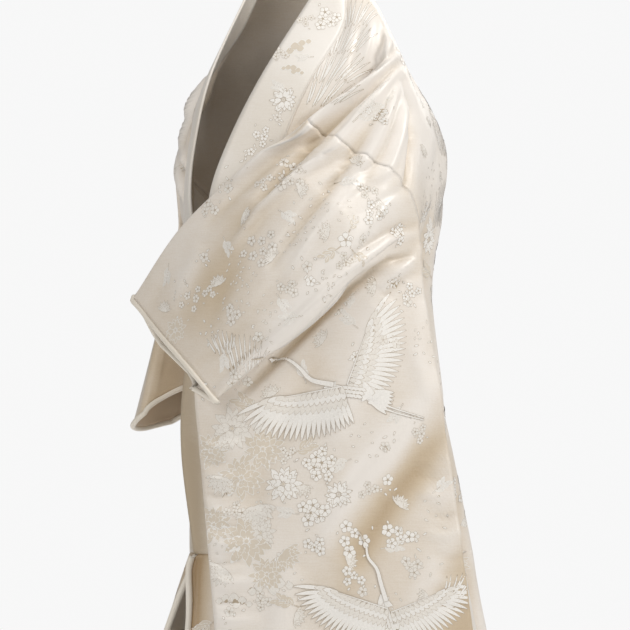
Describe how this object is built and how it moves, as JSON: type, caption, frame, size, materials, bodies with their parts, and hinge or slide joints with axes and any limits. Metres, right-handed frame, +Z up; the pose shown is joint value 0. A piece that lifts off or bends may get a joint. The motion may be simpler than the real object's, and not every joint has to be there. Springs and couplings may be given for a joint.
{
  "type": "uchikake wedding kimono",
  "caption": "Long trailing outer wedding kimono of ivory figured silk, worn open, with one sleeve raised across the front and one lowered, and a padded hem.",
  "frame": {"origin": "between the wearer's shoulders, 130 cm above the floor that the hem rests on, where the body carries the garment", "axes": "+Z up, the garment faces -Y, the wearer's left is +X"},
  "size_m": [0.6667, 1.0214, 1.45],
  "materials": {
    "silk_damask": "ivory silk satin woven with lighter figures, soft sheen",
    "collar_silk": "ivory silk satin, soft sheen",
    "roll_silk": "cream padded silk, soft sheen",
    "lining_silk": "tan plain silk, matt"
  },
  "bodies": {
    "root": {"body_left": "silk_damask", "body_right": "silk_damask", "okumi_left": "silk_damask", "okumi_right": "silk_damask", "sleeve_left": "silk_damask", "sleeve_right": "silk_damask", "collar": "collar_silk", "cuff_roll_left": "roll_silk", "cuff_roll_right": "roll_silk", "hem_roll_left": "roll_silk", "hem_roll_right": "roll_silk", "edge_roll_left": "roll_silk", "edge_roll_right": "roll_silk", "cuff_lining_right": "lining_silk"}
  },
  "joints": []
}
